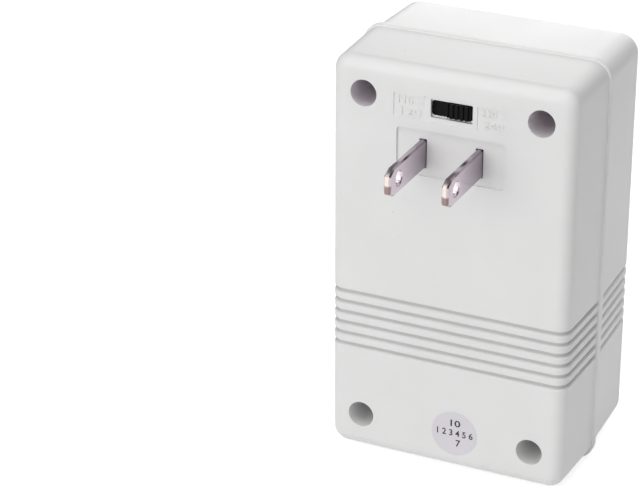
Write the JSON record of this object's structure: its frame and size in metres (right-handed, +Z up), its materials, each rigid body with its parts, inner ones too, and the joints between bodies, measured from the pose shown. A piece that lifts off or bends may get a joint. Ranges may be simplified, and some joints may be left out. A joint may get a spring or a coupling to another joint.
{
  "type": "travel voltage converter",
  "caption": "Travel voltage converter: white ribbed housing, universal socket on the front, two flat blades and a slide selector on the back.",
  "frame": {"origin": "on the flat rear face, midway between the two blades, where a wall outlet holds the converter", "axes": "+Z up along the housing's length; +X to the right as seen from the socket side; +Y from the socket side to the blade side"},
  "size_m": [0.0566, 0.0595, 0.0949],
  "materials": {
    "shell_plastic": "white moulded ABS, fine satin grain",
    "carrier_plastic": "off-white heat-resistant moulding",
    "black_plastic": "black moulded plastic, satin",
    "nickel_plate": "nickel-plated brass, lightly brushed",
    "zinc_screw": "zinc-plated steel",
    "contact_copper": "bare phosphor bronze spring sheet",
    "switch_steel": "tin-plated steel sheet",
    "phenolic": "brown phenolic board",
    "core_steel": "varnished electrical steel sheets",
    "bobbin_nylon": "natural nylon",
    "enamelled_wire": "enamelled copper winding",
    "polyester_tape": "yellow polyester tape",
    "tinned_copper": "tinned copper",
    "fuse_case": "resin-sealed case",
    "light_red": "diffused red epoxy",
    "board_green": "solder-masked circuit board",
    "resistor_blue": "lacquered film resistor",
    "diode_glass": "glass-sealed diode",
    "sticker_paper": "pale satin paper",
    "wire_red": "red insulated wire",
    "wire_black": "black insulated wire"
  },
  "bodies": {
    "converter": {"front_cover": "shell_plastic", "rear_cover": "shell_plastic", "contact_carrier": "carrier_plastic", "contact_retainer": "carrier_plastic", "retainer_screws": "zinc_screw", "contact_left": "contact_copper", "contact_right": "contact_copper", "contact_earth": "contact_copper", "blade_left": "nickel_plate", "blade_right": "nickel_plate", "rear_clamp": "carrier_plastic", "clamp_screws": "zinc_screw", "switch_frame": "switch_steel", "switch_base": "phenolic", "switch_terminals": "tinned_copper", "core_e_laminations": "core_steel", "core_i_laminations": "core_steel", "core_screws": "zinc_screw", "bobbin": "bobbin_nylon", "bobbin_lugs": "tinned_copper", "primary_winding": "enamelled_wire", "secondary_winding": "enamelled_wire", "winding_tape": "polyester_tape", "thermal_fuse": "fuse_case", "indicator_light": "light_red", "light_board": "board_green", "resistor": "resistor_blue", "diode": "diode_glass", "housing_screws": "zinc_screw", "round_sticker": "sticker_paper", "input_wires": "wire_red", "output_wires": "wire_black", "switch_wire": "wire_red"},
    "selector": {"switch_knob": "black_plastic", "switch_wipers": "contact_copper"}
  },
  "joints": [
    {"name": "selector_slide", "type": "slide", "parent": "converter", "child": "selector", "axis": [1, 0, 0], "range_m": [0, 0.0033]}
  ]
}
